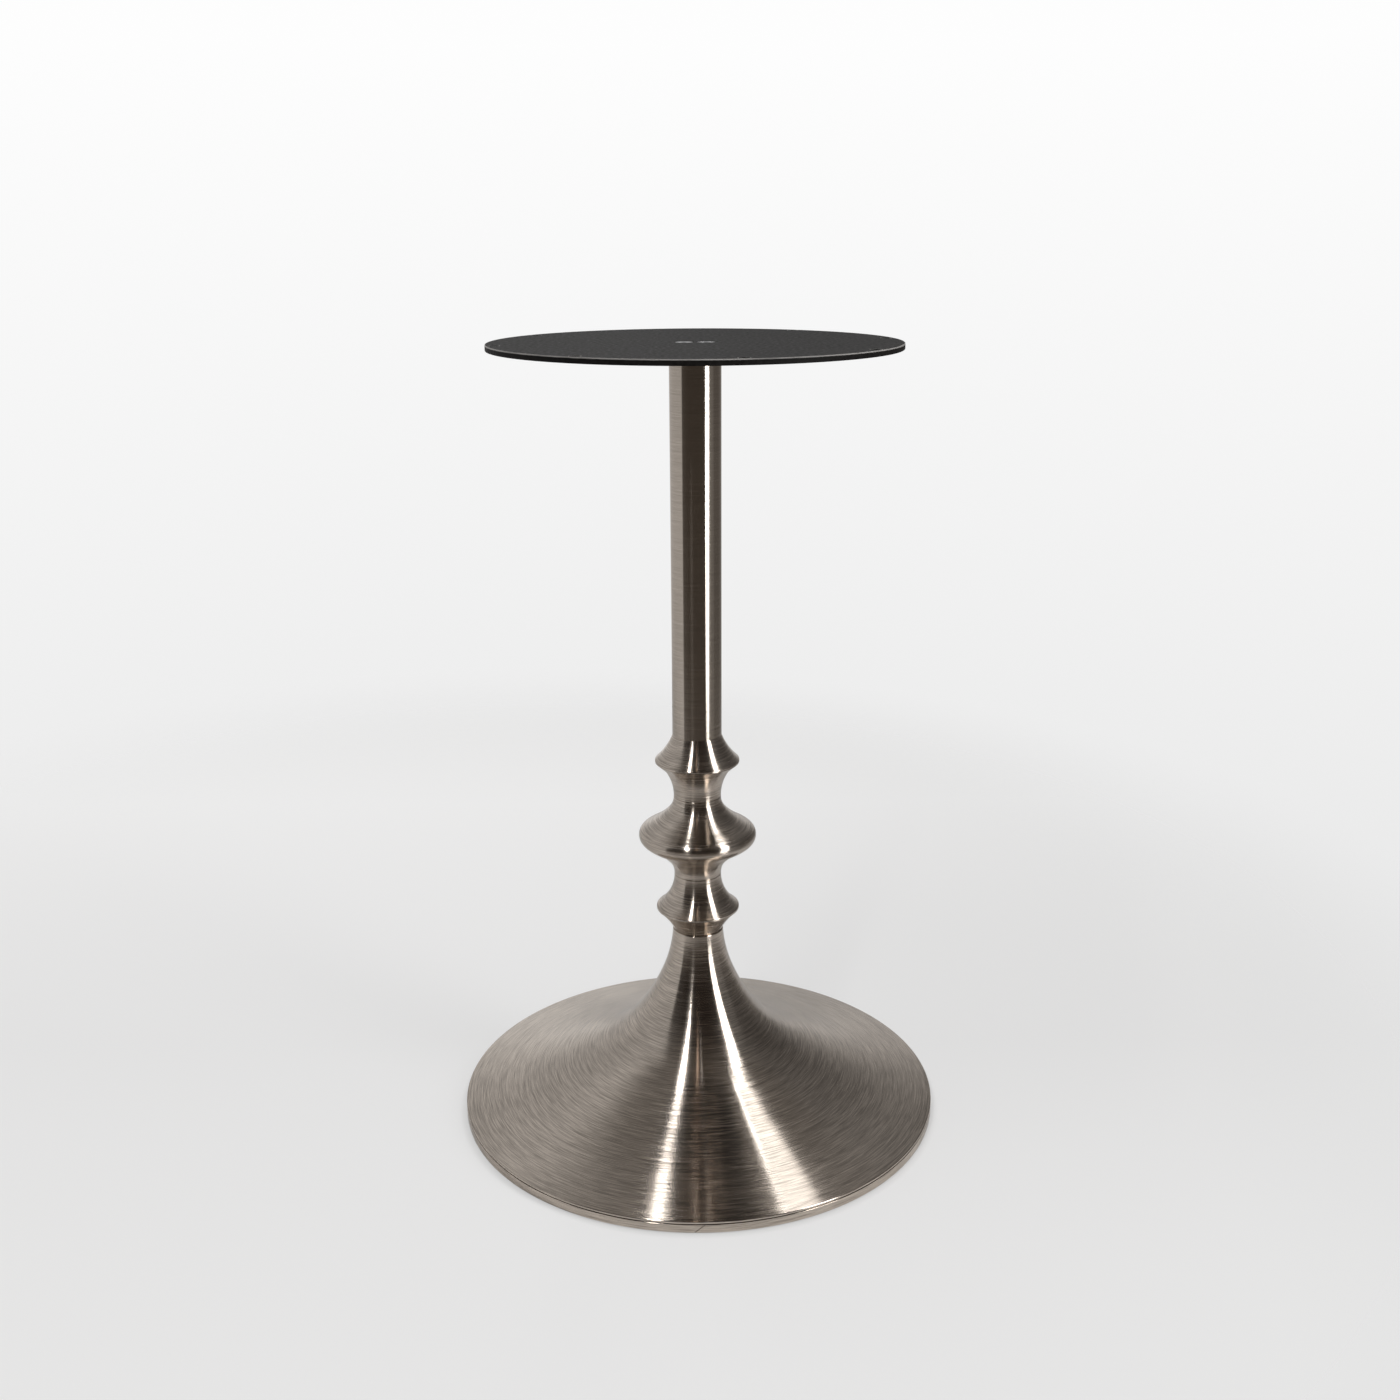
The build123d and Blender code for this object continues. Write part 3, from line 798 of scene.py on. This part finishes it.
class TABLEBASE_OT_turned_rings(BasePiece, bpy.types.Operator):
    """Turn the three rings with their rims, coves, sockets and spigots"""

    bl_idname = "table_base.turned_rings"
    bl_label = "Turned Rings"

    def upper_ring(self, sizes):
        low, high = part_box("upper_ring")
        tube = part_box("column_tube")
        top, bottom, rim, side = tube[0].z, low.z, high.x, tube[1].x
        rim_z = top - sizes.upper_rim_drop
        half = sizes.rim_land / 2
        heading = DOWN + sizes.upper_flare_angle
        flare = tangent_arc((side, top - sizes.chamfer), (rim, rim_z + half), heading, 60)
        land = line((rim, rim_z + half), (rim, rim_z - half), 3)
        hook = (sizes.upper_undercut_radius, rim_z - sizes.upper_undercut_drop)
        undercut = line((rim, rim_z - half), hook, 14)
        cove = tangent_arc((sizes.neck, bottom + sizes.chamfer), hook, UP, 50)[::-1]
        spigot_radius = side - sizes.tube_wall - sizes.fit_gap
        return outline(
            [(side - sizes.chamfer, top)],
            rounded(rounded(flare, land, sizes.rim_round)[:-1], undercut, sizes.rim_round),
            cove,
            [(sizes.neck - sizes.chamfer, bottom)],
            self.ring_inside(sizes, bottom, top, rim, rim_z, spigot_radius, high.z),
        )

    def middle_ring(self, sizes):
        low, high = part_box("middle_ring")
        top, bottom, rim = high.z - sizes.spigot, low.z, high.x
        rim_z = top - sizes.middle_rim_drop
        crown = clamped_spline(
            [
                (sizes.neck, top - sizes.chamfer),
                (sizes.neck + sizes.middle_flare_run, top - sizes.middle_flare_drop),
                (rim - sizes.middle_shoulder_run, rim_z + sizes.middle_shoulder_rise),
                (rim, rim_z),
            ],
            DOWN,
            DOWN,
            70,
        )
        hook = (sizes.middle_undercut_radius, rim_z - sizes.middle_undercut_drop)
        belly = clamped_spline(
            [
                (rim, rim_z),
                (rim - sizes.middle_belly_run, rim_z - sizes.middle_belly_drop),
                (rim - sizes.middle_keel_run, rim_z - sizes.middle_keel_drop),
                hook,
            ],
            DOWN,
            DOWN - sizes.middle_hook_angle,
            60,
        )
        cove = tangent_arc((sizes.neck, bottom + sizes.chamfer), hook, UP, 30)[::-1]
        spigot_radius = sizes.socket - sizes.fit_gap
        return outline(
            [(sizes.neck - sizes.chamfer, top)],
            crown,
            belly,
            cove,
            [(sizes.neck - sizes.chamfer, bottom)],
            self.ring_inside(sizes, bottom, top, rim, rim_z, spigot_radius, high.z),
        )

    def lower_ring(self, sizes):
        low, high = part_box("lower_ring")
        top, bottom, rim = high.z - sizes.spigot, low.z, high.x
        rim_z = top - sizes.lower_rim_drop
        half = sizes.rim_land / 2
        flare = tangent_arc((sizes.neck, top - sizes.chamfer), (rim, rim_z + half), DOWN, 60)
        land = line((rim, rim_z + half), (rim, rim_z - half), 3)
        cone = arc_through(
            (rim, rim_z - half),
            (sizes.lower_cone_radius, rim_z - sizes.lower_cone_drop),
            (sizes.lower_foot, bottom + sizes.chamfer),
            40,
        )
        spigot_radius = sizes.socket - sizes.fit_gap
        return outline(
            [(sizes.neck - sizes.chamfer, top)],
            rounded(rounded(flare, land, sizes.rim_round)[:-1], cone, sizes.rim_round),
            [(sizes.lower_foot - sizes.chamfer, bottom)],
            self.ring_inside(sizes, bottom, top, rim, rim_z, spigot_radius, high.z),
        )

    def execute(self, context):
        sizes = self.sizes(context)
        roughness = context.scene.table_base_finishes.ring_rough
        steel = self.steel(context, "turned_steel", roughness)
        for node, make in (
            ("upper_ring", self.upper_ring),
            ("middle_ring", self.middle_ring),
            ("lower_ring", self.lower_ring),
        ):
            piece = turned(node + "_brushed", make(sizes), TURNED_SIDES, steel)
            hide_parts(node)
        return {"FINISHED"}


class TABLEBASE_OT_trumpet(BasePiece, bpy.types.Operator):
    """Spin the trumpet from sheet, with its lip at the throat and its hem at the rim"""

    bl_idname = "table_base.trumpet"
    bl_label = "Trumpet"

    def execute(self, context):
        sizes = self.sizes(context)
        low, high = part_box("trumpet_shell")
        throat_z, rim, hem_z = high.z, high.x, low.z
        rim_z = hem_z + 2 * sizes.sheet
        reach = np.array((rim - sizes.throat, rim_z - throat_z))
        stations = np.array((sizes.throat, throat_z)) + np.array(FLARE_SHARES) * reach
        flare = clamped_spline(stations, DOWN + sizes.throat_angle, -sizes.rim_angle, 240)
        fold, lip_radius = rim - sizes.sheet, sizes.socket + sizes.fit_gap
        inside = offset(flare, sizes.sheet)[::6]
        inside = inside[(inside[:, 0] < fold) & (inside[:, 1] < throat_z - sizes.sheet)]
        lip = line((lip_radius, throat_z), (sizes.throat, throat_z), 8)
        edge = line((rim, rim_z), (rim, hem_z), 8)
        hem = line((rim, hem_z), (rim - sizes.hem, hem_z), 8)
        front = rounded(lip, flare, sizes.sheet_round)
        front = rounded(front, edge, sizes.sheet_round)
        front = rounded(front, hem, sizes.sheet_round)
        points = outline(
            front,
            [(rim - sizes.hem, hem_z + sizes.sheet), (fold, hem_z + sizes.sheet)],
            [(fold, inside[-1, 1] - (fold - inside[-1, 0]) * tan(sizes.rim_angle))],
            inside[::-1],
            [(sizes.throat - sizes.sheet, throat_z - sizes.sheet)],
            [(lip_radius, throat_z - sizes.sheet)],
        )
        roughness = context.scene.table_base_finishes.steel_rough
        steel = self.steel(context, "brushed_steel", roughness)
        piece = turned("trumpet_brushed", points, TURNED_SIDES, steel)
        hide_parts("trumpet_shell")
        return {"FINISHED"}


class TABLEBASE_OT_edge_band(BasePiece, bpy.types.Operator):
    """Roll the thin band round the edge, with its slanted seam at the front"""

    bl_idname = "table_base.edge_band"
    bl_label = "Edge Band"

    def execute(self, context):
        sizes = self.sizes(context)
        low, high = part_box("edge_band")
        outer, inner, ease = high.x, high.x - sizes.band_wall, sizes.band_ease
        side = line((outer, high.z), (outer, low.z), 9)
        top = line((inner, high.z), (outer, high.z), 5)
        foot = line((outer, low.z), (inner, low.z), 5)
        points = outline(rounded(rounded(top, side, ease, 5), foot, ease, 5))
        roughness = context.scene.table_base_finishes.steel_rough
        steel = self.steel(context, "brushed_steel", roughness)
        seam = sizes.seam_gap, sizes.seam_slant
        piece = rolled_strip("band_brushed", points, *seam, BAND_SIDES, steel)
        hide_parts("edge_band")
        return {"FINISHED"}


class TABLEBASE_OT_top_plate(BasePiece, bpy.types.Operator):
    """Powder coat the top plate"""

    bl_idname = "table_base.top_plate"
    bl_label = "Top Plate"

    def execute(self, context):
        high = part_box("top_plate")[1]
        finishes = context.scene.table_base_finishes
        holes = context.scene.table_base_holes
        coat = shared_finish("powder_coat_finish", powder_coat, finishes, high.x, high.z, holes)
        give_finish(["top_plate"], coat)
        return {"FINISHED"}


class TABLEBASE_OT_fasteners(BasePiece, bpy.types.Operator):
    """Plate the screws, the tie rod, its washers and its nut"""

    bl_idname = "table_base.fasteners"
    bl_label = "Fasteners"

    def execute(self, context):
        tint = context.scene.table_base_finishes.zinc
        zinc = shared_finish("zinc_finish", plain_metal, "zinc_finish", tint, 0.28, 0.0008)
        give_finish(["plate_screws", "tie_rod", "rod_washer", "rod_lock_washer", "rod_nut"], zinc)
        return {"FINISHED"}


class TABLEBASE_OT_inner_pieces(BasePiece, bpy.types.Operator):
    """Finish the boss, the collar, the support tube and the base weight"""

    bl_idname = "table_base.inner_pieces"
    bl_label = "Inner Pieces"

    def execute(self, context):
        finishes = context.scene.table_base_finishes
        name, tint = "inner_steel_finish", finishes.mild_steel
        steel = shared_finish(name, plain_metal, name, tint, 0.38, 0.0005)
        give_finish(["top_boss", "neck_collar", "support_tube"], steel)
        give_finish(["base_weight"], shared_finish("iron_finish", cast_iron, finishes))
        return {"FINISHED"}


class TABLEBASE_OT_floor_glides(BasePiece, bpy.types.Operator):
    """Finish the floor glides"""

    bl_idname = "table_base.floor_glides"
    bl_label = "Floor Glides"

    def execute(self, context):
        rubber = shared_finish("rubber_finish", glide_rubber, context.scene.table_base_finishes)
        give_finish([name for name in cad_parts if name.startswith("floor_glide_")], rubber)
        return {"FINISHED"}


class TABLEBASE_OT_studio(bpy.types.Operator):
    """Set up the camera, the floor, the lamps and the background"""

    bl_idname = "table_base.studio"
    bl_label = "Studio"
    bl_options = {"REGISTER", "UNDO"}

    def add_camera(self, studio):
        """Place the camera by its height and distance, its pitch, its yaw and its roll."""
        pitch, yaw, roll = studio.camera_pitch, studio.camera_yaw, studio.camera_roll
        ahead = Vector((sin(yaw) * cos(pitch), cos(yaw) * cos(pitch), -sin(pitch)))
        level = Vector((cos(yaw), -sin(yaw), 0.0))
        upright = level.cross(ahead)
        right = cos(roll) * level + sin(roll) * upright
        up = cos(roll) * upright - sin(roll) * level
        data = bpy.data.cameras.new("photo_camera")
        data.sensor_width = SENSOR_WIDTH
        data.lens = SENSOR_WIDTH * FOCAL_SHARE
        camera = bpy.data.objects.new("photo_camera", data)
        turn = Matrix((right, up, -ahead)).transposed().to_4x4()
        place = (0.0, -studio.camera_distance, studio.camera_height)
        camera.matrix_world = Matrix.Translation(place) @ turn
        bpy.context.scene.collection.objects.link(camera)
        bpy.context.scene.camera = camera

    def add_softbox(self, name, radiance, centre, facing, upright, wide, tall, tint=WHITE):
        """An area lamp at a place, with the direction that it faces and that of its length.

        The power of a lamp with radiance L and area A is pi L A.
        """
        data = bpy.data.lights.new(name, "AREA")
        data.shape = "RECTANGLE"
        data.size, data.size_y = wide, tall
        data.energy = pi * radiance * wide * tall
        data.color = tint
        back = -Vector(facing).normalized()
        across = Vector(upright).cross(back).normalized()
        lamp = bpy.data.objects.new(name, data)
        turn = Matrix((across, back.cross(across), back)).transposed().to_4x4()
        lamp.matrix_world = Matrix.Translation(centre) @ turn
        lamp.visible_camera = False
        bpy.context.scene.collection.objects.link(lamp)

    def add_floor(self, studio):
        """A pale floor that fades into the background some way from the base.

        For the camera a part of its tone is a glow, brighter towards the back and the left,
        with a painted shade round the base: a narrow ring darker next to its rim. The rest is
        light that the base's shadow falls on.
        """
        material, wiring = new_finish("studio_floor")
        x, y, z = wiring.place()
        seen = self.seen_directly(wiring)
        behind = seen * -0.15 + 0.45
        reach = ((x + 0.25) * (x + 0.25) + (y - behind) * (y - behind)).root()
        fade = (reach - seen * 0.05).ramped(0.70, 1.20)
        tone = wiring.blend(solid(studio.floor), solid(studio.floor, 0.4), seen)
        matt = wiring.node("ShaderNodeBsdfDiffuse", {}, {"Color": tone})
        level = ((y - 0.1) * (1 / 0.7)).clamped() * 0.10 - x * 0.055 + 0.53
        # Painted shade: the glow is dimmed in a narrow ring round the base's rim, in place of a
        # contact shadow.
        from_rim = (x * x + y * y).root() - studio.base_radius
        painted_shade = (1.0 - from_rim.ramped(0.0, studio.painted_shade_width)) * studio.painted_shade_depth
        strength = seen * level * (1.0 - painted_shade)
        glow = wiring.node("ShaderNodeEmission", {}, {"Color": solid(WHITE), "Strength": strength})
        lit = wiring.node("ShaderNodeAddShader", {}, {0: matt, 1: glow})
        clear = wiring.node("ShaderNodeBsdfTransparent")
        mixed = wiring.node("ShaderNodeMixShader", {}, {0: fade, 1: lit, 2: clear})
        wiring.node("ShaderNodeOutputMaterial", {}, {"Surface": mixed})
        mesh = bpy.data.meshes.new("studio_floor")
        half_side = 1.7
        corners = np.array(((-1, -1, 0), (1, -1, 0), (1, 1, 0), (-1, 1, 0))) * half_side
        mesh.from_pydata(corners, [], [(0, 1, 2, 3)])
        mesh.materials.append(material)
        floor = bpy.data.objects.new("studio_floor", mesh)
        bpy.context.scene.collection.objects.link(floor)

    def seen_directly(self, wiring):
        """1 for rays from the camera and 0 for all others."""
        return wiring.node("ShaderNodeLightPath", output=0)

    def add_surroundings(self, studio):
        """A pale background for the camera, and the studio's walls for everything else.

        The walls are pale behind the base and on its left. They are brightest low
        down, and straight behind the base, where they end sooner. The ceiling is
        gloomy, and a little paler on the left, on the right and overhead.
        """
        world = bpy.data.worlds.new("studio")
        bpy.context.scene.world = world
        world.use_nodes = True
        wiring = Wiring(world.node_tree)
        x, y, z = wiring.place("Generated")
        turn = x.math("ARCTAN2", x, y * -1.0) * (1 / (2 * pi)) + 0.5
        walls = wiring.node("ShaderNodeValToRGB", {"stops": WALL_STOPS}, {0: turn})
        height = z.math("ARCSINE", z)
        behind = (turn - 0.5).size()
        low_end = behind.ramped(0.45, 0.475) * height.ramped(0.35, 0.60)
        ceiling = height.ramped(0.80, 1.10).higher(low_end)
        lift = behind.ramped(0.42, 0.46) * 0.60 - height.ramped(0.1, 0.6) * 0.22 + 1.0
        upper = height.ramped(0.4, 0.8)
        left, right = 1.0 - turn.ramped(0.33, 0.43), turn.ramped(0.55, 0.70)
        overhead = height.ramped(0.85, 1.05)
        haze = left * upper * 0.10 + right * upper * 0.05 + overhead * 0.035
        gloom = wiring.blend(
            solid((0.016, 0.011, 0.008)),
            solid((0.062, 0.051, 0.041)),
            (height - 0.45).size().ramped(0.25, 0.6),
        )
        room = wiring.blend(gloom, solid(WHITE), walls * lift * (1.0 - ceiling) + haze)
        rise = ((height + 0.55) * (1 / 0.65)).clamped()
        backdrop = wiring.blend(solid(studio.foreground), solid(studio.backdrop), rise)
        seen = self.seen_directly(wiring)
        tone = wiring.blend(room, backdrop, seen)
        shown = wiring.node("ShaderNodeBackground", {}, {"Color": tone})
        wiring.node("ShaderNodeOutputWorld", {}, {"Surface": shown})

    def execute(self, context):
        studio = context.scene.table_base_studio
        self.add_camera(studio)
        self.add_floor(studio)
        self.add_surroundings(studio)
        self.add_softbox(
            "leaning_softbox",
            studio.key_radiance,
            centre=(1.148, -0.660, 1.15),
            facing=(-0.867, 0.499, 0.0),
            upright=(0.136, 0.215, 0.967),
            wide=0.353,
            tall=2.3,
        )
        down = (0.0, 0.0, -1.0)
        for name, source, part, centre, along, wide, long, tint in CEILING_LAMPS:
            radiance = getattr(studio, source) * part
            place, upright = (*centre, LAMP_HEIGHT), (*along, 0.0)
            self.add_softbox(name, radiance, place, down, upright, wide, long, tint)
        context.scene.view_settings.view_transform = "Standard"
        return {"FINISHED"}


PIECE_STEPS = (
    TABLEBASE_OT_column_tube,
    TABLEBASE_OT_turned_rings,
    TABLEBASE_OT_trumpet,
    TABLEBASE_OT_edge_band,
    TABLEBASE_OT_top_plate,
    TABLEBASE_OT_fasteners,
    TABLEBASE_OT_inner_pieces,
    TABLEBASE_OT_floor_glides,
    TABLEBASE_OT_studio,
)


class TABLEBASE_PT_sidebar(bpy.types.Panel):
    """Lists the steps that build the table base, and their settings"""

    bl_label = "Table Base"
    bl_idname = "TABLEBASE_PT_sidebar"
    bl_space_type = "VIEW_3D"
    bl_region_type = "UI"
    bl_category = "Table Base"

    def draw(self, context):
        for step in PIECE_STEPS:
            self.layout.operator(step.bl_idname)
        for group in SETTINGS:
            box = self.layout.box()
            settings = getattr(context.scene, group)
            for name in settings.bl_rna.properties.keys():
                if name not in {"rna_type", "name"}:
                    box.prop(settings, name)


SETTINGS = {
    "table_base_sizes": TableBaseSizes,
    "table_base_holes": TableBaseHoles,
    "table_base_finishes": TableBaseFinishes,
    "table_base_studio": TableBaseStudio,
}


def register():
    for settings in SETTINGS.values():
        bpy.utils.register_class(settings)
    for step in PIECE_STEPS:
        bpy.utils.register_class(step)
    bpy.utils.register_class(TABLEBASE_PT_sidebar)
    for name, settings in SETTINGS.items():
        setattr(bpy.types.Scene, name, PointerProperty(type=settings))


def unregister():
    for name in SETTINGS:
        delattr(bpy.types.Scene, name)
    bpy.utils.unregister_class(TABLEBASE_PT_sidebar)
    for step in reversed(PIECE_STEPS):
        bpy.utils.unregister_class(step)
    for settings in reversed(SETTINGS.values()):
        bpy.utils.unregister_class(settings)


def main():
    register()
    bpy.ops.table_base.studio()
    bpy.ops.table_base.column_tube()
    bpy.ops.table_base.turned_rings()
    bpy.ops.table_base.trumpet()
    bpy.ops.table_base.edge_band()
    bpy.ops.table_base.top_plate()
    bpy.ops.table_base.fasteners()
    bpy.ops.table_base.inner_pieces()
    bpy.ops.table_base.floor_glides()


if __name__ == "__main__":
    main()
